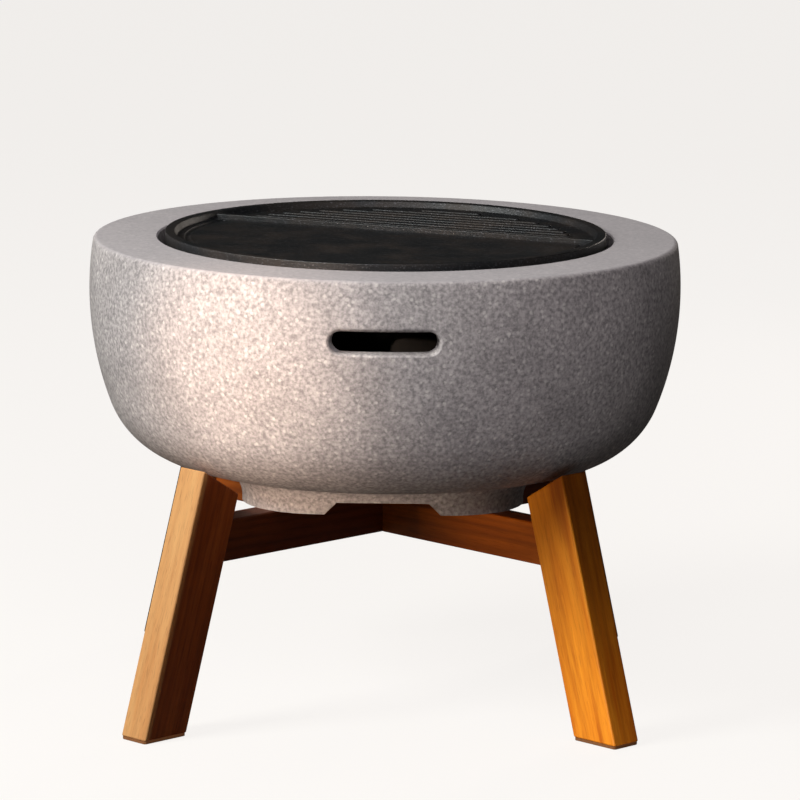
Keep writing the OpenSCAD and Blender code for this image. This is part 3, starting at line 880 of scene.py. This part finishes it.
def plate_ridges():
    """The divider and the grill bars, with rounded tops, sunk a little into the floor."""
    mesh = bmesh.new()
    low = plate_floor - PAST
    reach = half_chord(field_r, divider_offset) + rim_slope / 2
    rounded_slab(mesh, (2 * reach, divider_w), divider_corner, low, plate_floor + divider_h,
                 (0, divider_offset), segments=3)
    bar_w = bar_pitch - slot_across - 2 * bar_inset
    for row in range(SLOT_ROWS + 1):
        y = first_slot + (row - 0.5) * bar_pitch
        length = 2 * half_chord(pattern_r, y + bar_w / 2 + bar_inset)
        rounded_slab(mesh, (length, bar_w), (bar_w - bar_flat) / 2, low, plate_floor + bar_h,
                     (0, y), segments=6)
    tops = [e for e in sharp_edges(mesh) if all(v.co.z > plate_floor for v in e.verts)]
    ease(mesh, tops, bar_ease)
    return as_object(mesh, "plate_ridges")


def plate_slots():
    mesh = bmesh.new()
    for row in range(SLOT_ROWS):
        y = first_slot + row * bar_pitch
        length = half_chord(pattern_r, y + slot_across / 2) - web_w / 2
        for side in (-1, 1):
            rounded_slab(mesh, (length, slot_across), slot_across / 2 - LOOSE_MERGE,
                         plate_floor - 2 * floor_t, plate_top,
                         (side * (web_w + length) / 2, y), segments=6)
    return as_object(mesh, "plate_slots")


combine(plate, plate_ridges(), "UNION")
print("grill:", SLOT_ROWS + 1, "bars and", 2 * SLOT_ROWS, "slots")

# %% [markdown]
# Fat runs off the griddle into a round-bottomed groove along the rim. Its cutter
# is a disc on edge that is spun round the plate, so it leaves the groove a
# shallow arc in section. Four small feet under the rim stand on the pan's flange
# and leave an air gap all round. The parts are joined before the slots and the
# groove are cut, and the whole plate is then turned in its seat.

# %% The plate's groove and feet
groove_w, groove_depth = 7 * MM, 2 * MM
plate_foot_w, plate_foot_corner = 18 * MM, 2 * MM
plate_foot_inset = 0.5 * MM    # its step in from both sides of the rim


def grease_groove():
    """A round-bottomed groove along the rim, on the griddle's side of the divider."""
    mesh = bmesh.new()
    middle = field_r - 1.5 * groove_w
    bead_r = (groove_w ** 2 / 4 + groove_depth ** 2) / (2 * groove_depth)
    end = math.asin((divider_offset - divider_w) / middle)
    made = bmesh.ops.create_circle(mesh, segments=20, radius=bead_r, cap_ends=True)
    matrix = (Matrix.Rotation(math.pi - end, 4, "Z")
              @ Matrix.Translation((middle, 0, plate_floor - groove_depth + bead_r))
              @ Matrix.Rotation(math.pi / 2, 4, "X"))
    bmesh.ops.transform(mesh, matrix=matrix, verts=made["verts"])
    bmesh.ops.spin(mesh, geom=whole(mesh), cent=(0, 0, 0), axis=(0, 0, 1),
                   angle=math.pi + 2 * end, steps=PLATE_TURNS // 2)
    bmesh.ops.recalc_face_normals(mesh, faces=mesh.faces)
    return as_object(mesh, "grease_groove")


def plate_feet():
    mesh = bmesh.new()
    for turn in (45, 135, 225, 315):
        rounded_slab(mesh, (rim_w - 2 * plate_foot_inset, plate_foot_w), plate_foot_corner,
                     plate_low.z, plate_bottom + 2 * PAST,
                     polar((0, 0), plate_r - rim_w / 2, turn), turn, segments=3)
    return as_object(mesh, "plate_feet")


combine(plate, plate_feet(), "UNION")
combine(plate, plate_slots(), "DIFFERENCE")
combine(plate, grease_groove(), "DIFFERENCE")
plate_mesh = reopen(plate)
bmesh.ops.rotate(plate_mesh, matrix=about_z(plate_turn), verts=plate_mesh.verts)
plate_piece = finish(plate_mesh, "cast_grill_plate", "grill_plate", iron,
                     ["grill_plate"], sharp=38)

# %% [markdown]
# ## The fire pan
#
# The pan is spun or pressed from 2 mm sheet: a flat floor, a round corner, a
# wall that leans out and a flange that hangs on the bowl's ledge. The profile
# follows both faces of the sheet, and round bars punch the air holes.

# %% The pan
sheet = 2 * MM
pan_corner, pan_lean = 12 * MM, 8
flange_r = round(pan_high.x, 4)
pan_clear = 5 * MM     # air between the ledge's edge and the pan's wall
pan_wall_r = opening_r - ledge_w - pan_clear
PAN_TURNS = 192
pan_bend = 2 * MM      # the slope between the wall and the flange
AIR_HOLES, air_hole_r, air_hole_rise, punch = 16, 5 * MM, 30 * MM, 80 * MM
along_x = Matrix.Rotation(math.pi / 2, 4, "Y")   # lays a bar along X


def round_bar(mesh, radius, length, matrix, segments=24):
    """Adds a round bar with closed ends, which lies along Z until the matrix turns it."""
    bmesh.ops.create_cone(mesh, cap_ends=True, segments=segments, radius1=radius,
                          radius2=radius, depth=length, matrix=matrix)


def fire_pan():
    mesh = bmesh.new()
    lean = math.radians(pan_lean)
    corner_z = pan_low.z + pan_corner
    corner_x = (pan_wall_r - pan_corner / math.cos(lean)
                - (pan_high.z - corner_z) * math.tan(lean))
    corner = (corner_x, corner_z)

    def wall_at(radius, z):
        """The wall's x at a height, on the face that lies radius from the corner's middle."""
        return corner_x + radius / math.cos(lean) + (z - corner_z) * math.tan(lean)

    point = chain(mesh, [(0, pan_low.z), (corner_x, pan_low.z)])
    point = arc(mesh, point, corner, -(90 - pan_lean), 8)
    top, under = pan_high.z, pan_high.z - sheet
    point = chain(mesh, [(wall_at(pan_corner, under - pan_bend), under - pan_bend),
                         (wall_at(pan_corner, under) + pan_bend, under),
                         (flange_r, under), (flange_r, top),
                         (wall_at(pan_corner - sheet, top) + pan_bend, top),
                         (wall_at(pan_corner - sheet, top - pan_bend), top - pan_bend),
                         polar(corner, pan_corner - sheet, -pan_lean)], point)
    point = arc(mesh, point, corner, 90 - pan_lean, 8)
    chain(mesh, [(0, pan_low.z + sheet)], point)
    revolve(mesh, PAN_TURNS)
    pan = as_object(mesh, "pan_body")
    holes = bmesh.new()
    for i in range(AIR_HOLES):
        at = Matrix.Translation((corner_x, 0, pan_low.z + air_hole_rise))
        round_bar(holes, air_hole_r, punch, about_z((i + 0.5) * 360 / AIR_HOLES) @ at @ along_x)
    combine(pan, as_object(holes, "air_holes"), "DIFFERENCE")
    return reopen(pan)


finish(fire_pan(), "pressed_fire_pan", "fire_pan", stove_paint, ["fire_pan"],
       sharp=35, weighted=False)

# %% [markdown]
# ## The charcoal grate
#
# Rod of 7 mm: one bent into a ring, a row laid across it and welded at each
# crossing, and four stubs for legs. The rods' ends are rounded a little, and a
# flattened bead of weld sits at each crossing.

# %% The grate
ring_low, ring_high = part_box("grate_ring")
rods_low, rods_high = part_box("grate_rods")
stubs_low, stubs_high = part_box("grate_legs")
rod_r = (ring_high.z - ring_low.z) / 2
ring_r = ring_high.x - rod_r
ring_z = (ring_low.z + ring_high.z) / 2
rod_z = (rods_low.z + rods_high.z) / 2
rod_pitch, rod_ease = 22 * MM, 0.6 * MM
WELD_BEAD = (0.75, 1.2, 0.5)   # a bead's reach in X, Y and Z, in rod radii
WELD_SINK = 0.9                # and how far it lies under the rod's middle, in the same
SIDE_RODS = round((rods_high.y - rod_r) / rod_pitch)
ROD_SIDES, RING_TURNS = 16, 144


def grate_ring():
    mesh = bmesh.new()
    made = bmesh.ops.create_circle(mesh, segments=ROD_SIDES, radius=rod_r)
    matrix = Matrix.Translation((ring_r, 0, ring_z)) @ Matrix.Rotation(math.pi / 2, 4, "X")
    bmesh.ops.transform(mesh, matrix=matrix, verts=made["verts"])
    revolve(mesh, RING_TURNS)
    return mesh


def grate_rods():
    """The rods, and a flattened bead where each crosses the ring."""
    mesh = bmesh.new()
    places = [i * rod_pitch for i in range(-SIDE_RODS, SIDE_RODS + 1)]
    for y in places:
        round_bar(mesh, rod_r, 2 * half_chord(ring_r, y),
                  Matrix.Translation((0, y, rod_z)) @ along_x, ROD_SIDES)
    ease(mesh, sharp_edges(mesh, 60), rod_ease, 2)
    flattened = Matrix.Diagonal((*[share * rod_r for share in WELD_BEAD], 1))
    for y in places:
        for side in (-1, 1):
            at = (side * (half_chord(ring_r, y) - rod_r / 2), y, rod_z - rod_r * WELD_SINK)
            bmesh.ops.create_icosphere(mesh, subdivisions=2, radius=1,
                                       matrix=Matrix.Translation(at) @ flattened)
    return mesh


def grate_stubs():
    mesh = bmesh.new()
    middle = (stubs_low.z + stubs_high.z) / 2
    for turn in (45, 135, 225, 315):
        round_bar(mesh, rod_r, stubs_high.z - stubs_low.z,
                  Matrix.Translation((*polar((0, 0), ring_r, turn), middle)), ROD_SIDES)
    ease(mesh, sharp_edges(mesh, 60), rod_ease, 2)
    return mesh


for mesh, name, node in ((grate_ring(), "grate_hoop", "grate_ring"),
                         (grate_rods(), "grate_bars", "grate_rods"),
                         (grate_stubs(), "grate_stubs", "grate_legs")):
    finish(mesh, name, "charcoal_grate", fired_rod, [node])

# %% [markdown]
# ## The stand's planks
#
# A leg is a leaning plank, cut level at the floor and sloped at the top so that
# it clears the bowl. Its rail is held to its inner face by two dowels, one above
# the other. The tools below serve the legs and the rails alike: a block to start
# from, a cut along a plane, and the cutter for the bores of a joint.

# %% Cuts and bores in the timber
leg_t, leg_depth, leg_reach, leg_lean = 35 * MM, 56 * MM, 344 * MM, math.radians(16.7)
dowel_r, dowel_half, dowel_inset = 5.05 * MM, 26 * MM, 11 * MM
dowel_levels = [rail_low.z + dowel_inset, rail_high.z - dowel_inset]


def inner_face(z):
    """Distance from the axis to a leg's inner face at a height."""
    return leg_reach - (z - pad_top) * math.tan(leg_lean) - leg_depth


def cut_off(mesh, point, outward):
    """Cuts away what lies beyond a plane, and closes the cut."""
    made = bmesh.ops.bisect_plane(mesh, geom=whole(mesh), dist=MERGE, plane_co=point,
                                  plane_no=outward, clear_outer=True)
    cut = [e for e in made["geom_cut"] if isinstance(e, bmesh.types.BMEdge)]
    bmesh.ops.edgenet_fill(mesh, edges=cut)


def dowel_bores(azimuth):
    mesh = bmesh.new()
    for z in dowel_levels:
        round_bar(mesh, dowel_r, 2 * dowel_half,
                  about_z(azimuth) @ Matrix.Translation((inner_face(z), 0, z)) @ along_x)
    return as_object(mesh, f"dowel_bores_{azimuth}")


def timber_block(size, place=(0, 0, 0)):
    """A box of that size as a bmesh, with its middle at place."""
    mesh = bmesh.new()
    bmesh.ops.create_cube(mesh, size=1)
    bmesh.ops.scale(mesh, vec=size, verts=mesh.verts)
    bmesh.ops.translate(mesh, vec=place, verts=mesh.verts)
    return mesh


print("dowels at", [round(z / MM, 1) for z in dowel_levels], "mm")

# %% [markdown]
# A leg starts as a block that is leaned over, cut by the two planes and eased
# along every edge, as with a spokeshave and sandpaper. The grain follows the
# lean, so each wood finish gets its plank's own axes. The front legs differ in
# tone partly as planks do and partly as painted light and shade: the front right
# leg is brighter for the light on it, and the front left's heartwood is darker for
# the shade on its sides. Only the front left plank has sapwood, and its pale band on
# the outer face is also painted light on that face.

# %% Legs
top_slope, top_gap = math.radians(31.5), 7 * MM
wood_ease = 2 * MM
LEG_STOCK = 2          # metres of plank, before it is cut to length
BACK_TONES = ("#b9722f", "#9a5720", "#6f3a12")
# The front legs' tones are partly painted light and shade: the front right leg's wood is brighter
# for the light on it, and the front left's heartwood is darker for the shade on its sides.
PLANK_TONES_AND_PAINTED_LIGHT = {225: ("#b9632a", "#974716", "#6a2b0a"), 315: ("#eb952a", "#c06513", "#984a0d"),
         45: BACK_TONES, 135: BACK_TONES}
# the front left leg's pale sapwood on its outer face is partly painted light on that face
SAPWOOD_AND_PAINTED_LIGHT = {225: ("#e2ac71", "#d4955c")}
pith_beside, pith_behind = 55 * MM, 30 * MM   # how far the pith is from a leg's middle


def leg_mesh(azimuth):
    mesh = timber_block((leg_depth * math.cos(leg_lean), leg_t, LEG_STOCK))
    bmesh.ops.rotate(mesh, matrix=Matrix.Rotation(-leg_lean, 3, "Y"), verts=mesh.verts)
    bmesh.ops.translate(mesh, vec=(leg_reach - leg_depth / 2, 0, pad_top), verts=mesh.verts)
    cut_off(mesh, (0, 0, pad_top), (0, 0, -1))
    top = polar(shoulder_c, shoulder_r + top_gap, math.degrees(top_slope) - 90)
    cut_off(mesh, (top[0], 0, top[1]), (-math.sin(top_slope), 0, math.cos(top_slope)))
    ease(mesh, mesh.edges[:], wood_ease)
    bmesh.ops.rotate(mesh, matrix=about_z(azimuth), verts=mesh.verts)
    bmesh.ops.recalc_face_normals(mesh, faces=mesh.faces)
    leg = as_object(mesh, f"leg_{azimuth}")
    combine(leg, dowel_bores(azimuth), "DIFFERENCE")
    return reopen(leg)


def leg_axes(azimuth):
    """The plank's own axes: X up along the leg, Y across its thickness."""
    foot_of_leg = Matrix.Translation((leg_reach - leg_depth / 2, 0, pad_top))
    return about_z(azimuth) @ foot_of_leg @ Matrix.Rotation(-leg_lean - math.pi / 2, 4, "Y")


for azimuth, name in LEG_NAMES.items():
    along_tree = 0.7 * azimuth % 1 + 0.3      # in metres, another stretch for each plank
    wood = oiled_wood(f"oiled_hardwood_{name}_leg", leg_axes(azimuth),
                      (along_tree, pith_beside, pith_behind), PLANK_TONES_AND_PAINTED_LIGHT[azimuth],
                      SAPWOOD_AND_PAINTED_LIGHT.get(azimuth))
    finish(leg_mesh(azimuth), f"{name}_leg_plank", BODY_OF_LEG[azimuth], wood,
           [f"{name}_leg"])

# %% [markdown]
# ## The crossed rails
#
# Two rails run from leg to leg and are lapped where they cross: one is cut from
# above and the other from below, each through half its height. Their ends lean
# with the legs, and only their long edges are eased, so the ends meet the legs
# without a gap.

# %% Rails
rail_t = 30 * MM
lap_clear = 0.2 * MM
RAIL_STOCK = 1         # metres, before the ends are cut
rail_pith = (200 * MM, 50 * MM, -40 * MM)
# The base rail's tones are darker than the cross rail's and the legs': painted shade, for the
# shadow under the bowl.
RAIL_TONES_AND_PAINTED_SHADE = {"base_rail": ("#7a3810", "#642909", "#431a05"),
              "cross_rail": ("#b25a18", "#92430f", "#642a08")}


def rail_mesh(azimuth, cut_from_above):
    height = rail_high.z - rail_low.z
    middle = (rail_high.z + rail_low.z) / 2
    mesh = timber_block((RAIL_STOCK, rail_t, height), (0, 0, middle))
    for side in (-1, 1):
        cut_off(mesh, (side * inner_face(middle), 0, middle),
                (side * math.cos(leg_lean), 0, math.sin(leg_lean)))
    # the edges that run along the rail, not those of its sawn ends
    long_edges = [e for e in mesh.edges
                  if abs((e.verts[0].co - e.verts[1].co).normalized().x) > 0.9]
    ease(mesh, long_edges, wood_ease)
    bmesh.ops.recalc_face_normals(mesh, faces=mesh.faces)
    rail = as_object(mesh, f"rail_{azimuth}")
    shift = height / 2 if cut_from_above else -height / 2
    lap = timber_block((rail_t + 2 * lap_clear, 2 * rail_t, height), (0, 0, middle + shift))
    combine(rail, as_object(lap, "lap_cutter"), "DIFFERENCE")
    rail.data.transform(about_z(azimuth))
    for end in (azimuth, azimuth + 180):
        combine(rail, dowel_bores(end), "DIFFERENCE")
    return reopen(rail)


for node, azimuth, body, above in (("base_rail", 45, "stand_base", True),
                                   ("cross_rail", 315, "stand_cross", False)):
    axes = about_z(azimuth) @ Matrix.Translation((0, 0, rail_low.z))
    wood = oiled_wood(f"oiled_hardwood_{node}", axes, rail_pith, RAIL_TONES_AND_PAINTED_SHADE[node])
    finish(rail_mesh(azimuth, above), f"{node}_plank", body, wood, [node])

# %% [markdown]
# ## Pads and dowels
#
# A thin moulded pad under each leg keeps the end grain off the wet ground. The
# dowels are out of sight in their bores, so they keep their construction mesh
# and only get their beech.

# %% Pads and dowels
pad_inset, pad_corner, pad_ease = 0.5 * MM, 3 * MM, 0.6 * MM


def pad_mesh(azimuth):
    mesh = bmesh.new()
    rounded_slab(mesh, (leg_depth - 2 * pad_inset, leg_t - 2 * pad_inset), pad_corner, 0, pad_top,
                 polar((0, 0), leg_reach - leg_depth / 2, azimuth), azimuth, segments=4)
    low = [e for e in sharp_edges(mesh) if all(v.co.z < pad_top / 2 for v in e.verts)]
    ease(mesh, low, pad_ease, 2)
    return mesh


for azimuth, name in LEG_NAMES.items():
    finish(pad_mesh(azimuth), f"{name}_foot_pad", BODY_OF_LEG[azimuth], rubber,
           [f"{name}_pad"])
    dowels = frame["nodes"][f"{name}_dowels"]
    dowels.data.materials.clear()
    dowels.data.materials.append(beech)
print("pieces:", len(pieces), "and", len(LEG_NAMES), "pairs of dowels")

# %% [markdown]
# ## Camera
#
# The camera stands five metres off, a little above the rim, with a long lens, so
# the brazier's shape is hardly distorted. Its place was found by fitting a
# pinhole camera to the edges of the rim, the slot, the legs and the rails.

# %% The camera
CAMERA_PLACE = (0.0, -5.227, 1.247)
CAMERA_PITCH, CAMERA_YAW, CAMERA_ROLL = -10.258, 0.181, -0.677   # degrees
FOCAL_PIXELS, IMAGE_WIDTH = 5206.4, 800
SENSOR_MM = 36

camera_data = bpy.data.cameras.new("portrait_camera")
camera_data.sensor_width = SENSOR_MM
camera_data.lens = FOCAL_PIXELS * SENSOR_MM / IMAGE_WIDTH
camera_data.clip_end = 100
camera = bpy.data.objects.new("portrait_camera", camera_data)
bpy.context.scene.collection.objects.link(camera)
aim = (Matrix.Rotation(math.radians(-CAMERA_YAW), 4, "Z")
       @ Matrix.Rotation(math.radians(90 + CAMERA_PITCH), 4, "X")
       @ Matrix.Rotation(math.radians(-CAMERA_ROLL), 4, "Z"))
camera.matrix_world = Matrix.Translation(CAMERA_PLACE) @ aim
bpy.context.scene.camera = camera
print("lens:", round(camera_data.lens, 1), "mm")

# %% [markdown]
# ## Floor and surroundings
#
# A pale, plain floor runs under everything. To stay pale in the picture without
# throwing light up into the shaded parts, its paint is dark to the lamps and
# glows only for the camera. The world round it is nearly black, so the shading
# comes from the lamps, and the colours are shown as they are, with no film curve.

# %% Floor and world
FLOOR_HALF, FLOOR_GLOW, AMBIENT = 40, 0.9, 0.015
bpy.context.scene.view_settings.view_transform = "Standard"
floor_mesh = bmesh.new()
bmesh.ops.create_grid(floor_mesh, x_segments=1, y_segments=1, size=FLOOR_HALF)
floor = as_object(floor_mesh, "studio_floor")
floor_paint, tree, shader, _ = new_material("matt_floor_paint")
shader.inputs["Base Color"].default_value = linear("#4a4948")
shader.inputs["Roughness"].default_value = 0.9
shader.inputs["Emission Color"].default_value = linear("#fbf8f5")
seen = add_node(tree, "ShaderNodeLightPath").outputs["Is Camera Ray"]
glow = add_node(tree, "ShaderNodeMath", {0: seen, 1: FLOOR_GLOW}, operation="MULTIPLY")
tree.links.new(glow.outputs["Value"], shader.inputs["Emission Strength"])
floor.data.materials.append(floor_paint)

world = bpy.data.worlds.new("studio")
world.use_nodes = True
background = world.node_tree.nodes["Background"]
background.inputs["Color"].default_value = linear("#ffffff")
background.inputs["Strength"].default_value = AMBIENT
bpy.context.scene.world = world
print("floor:", 2 * FLOOR_HALF, "m across")

# %% [markdown]
# ## A studio lamp
#
# A lamp is placed as a photographer does it: so far round, so high, so far off,
# and turned to a point on the brazier. It is a square softbox, or a spot with a
# snoot that narrows its cone. A flag, which in a studio is a black card on a
# stand, keeps its light off chosen pieces. Blender does that with light linking.

# %% The lamp
def lamp(name, azimuth, elevation, distance, watts, colour, size, cone=None,
         aim=(0, 0, 0.33), flagged=(), only=()):
    """Aims a light at a point on the brazier; azimuth 0 is the front, 90 the right.

    A softbox is size metres wide. With a cone, in degrees, it is a spot, and size
    is its bulb's radius. A flagged piece neither catches its light nor shades it.
    If there are pieces in only, it lights those and nothing else.
    """
    light = bpy.data.lights.new(name, "SPOT" if cone else "AREA")
    light.energy = watts
    light.color = colour
    if cone:
        light.spot_size, light.spot_blend = math.radians(cone), 1.0
        light.shadow_soft_size = size
    else:
        light.size = size
    made = bpy.data.objects.new(name, light)
    a, e = math.radians(azimuth), math.radians(elevation)
    back = Vector((math.sin(a) * math.cos(e), -math.cos(a) * math.cos(e), math.sin(e)))
    made.matrix_world = (Matrix.Translation(Vector(aim) + back * distance)
                         @ back.to_track_quat("Z", "Y").to_matrix().to_4x4())
    bpy.context.scene.collection.objects.link(made)
    if flagged or only:
        linked = bpy.data.collections.new(f"{name}_linked")
        made.light_linking.receiver_collection = linked
        if flagged:
            made.light_linking.blocker_collection = linked
        for piece in (*flagged, *only):
            linked.objects.link(piece)
        for entry in linked.collection_objects:
            entry.light_linking.link_state = "EXCLUDE" if flagged else "INCLUDE"
    print(f"{name}: {watts} W, {distance} m off")


# %% [markdown]
# ## The light
#
# The key is a large softbox to the left. Two warm spots, the pool and the sweep,
# model the bowl, a weak fill keeps its far side from going black, and weak
# softboxes from the left and from behind draw the edges. The stand would look
# flat in that much light, so the spots, the fill and the left one are flagged off
# its timber. The key is flagged off the back left leg and the back light off the
# grill plate, which would shine out of the shade. Three more lamps light nothing
# but timber: the front legs' shaded sides, the right rail and the lower right leg.

# %% The lamps
legs = [piece for piece in pieces if piece.name.endswith("_leg_plank")]
rails = [piece for piece in pieces if piece.name.endswith("_rail_plank")]
timber = (*legs, *rails)
front_legs = [piece for piece in legs if piece.name.startswith("front")]
right_leg = bpy.data.objects["front_right_leg_plank"]
back_left_leg = bpy.data.objects["back_left_leg_plank"]
lamp("key", azimuth=-58, elevation=33, distance=3.0, watts=97, colour=(1.0, 1.0, 0.94),
     size=1.0, flagged=[back_left_leg])
lamp("pool", azimuth=-31, elevation=12, distance=2.5, watts=385, colour=(1.0, 0.75, 0.58),
     size=0.04, cone=6.7, aim=(-0.143, -0.265, 0.4), flagged=timber)
lamp("sweep", azimuth=-24, elevation=3, distance=2.5, watts=410, colour=(1.0, 0.75, 0.57),
     size=0.13, cone=6.8, aim=(-0.14, -0.2, 0.228), flagged=timber)
lamp("left", azimuth=-98, elevation=14, distance=3.5, watts=22, colour=(0.96, 0.98, 1.0),
     size=0.6, flagged=timber)
lamp("fill", azimuth=-3, elevation=33, distance=3.5, watts=64, colour=(1.0, 0.95, 0.97),
     size=1.5, flagged=timber)
lamp("edge", azimuth=150, elevation=12, distance=2.5, watts=6, colour=(1.0, 0.9, 0.8), size=0.4)
lamp("back", azimuth=172, elevation=30, distance=3.5, watts=10, colour=(0.95, 0.94, 1.0),
     size=1.2, flagged=[plate_piece])
lamp("shade", azimuth=30, elevation=5, distance=3.5, watts=2.5, colour=(1.0, 0.42, 0.15),
     size=1.0, only=front_legs)
lamp("under", azimuth=-57, elevation=3, distance=3.0, watts=140, colour=(1.0, 0.73, 0.22),
     size=0.05, cone=4.4, aim=(0.13, -0.13, 0.225), only=(*rails, right_leg))
lamp("gleam", azimuth=-27, elevation=10, distance=2.5, watts=205, colour=(1.0, 0.93, 0.6),
     size=0.1, cone=8.5, aim=(0.25, -0.25, -0.01), only=[right_leg])
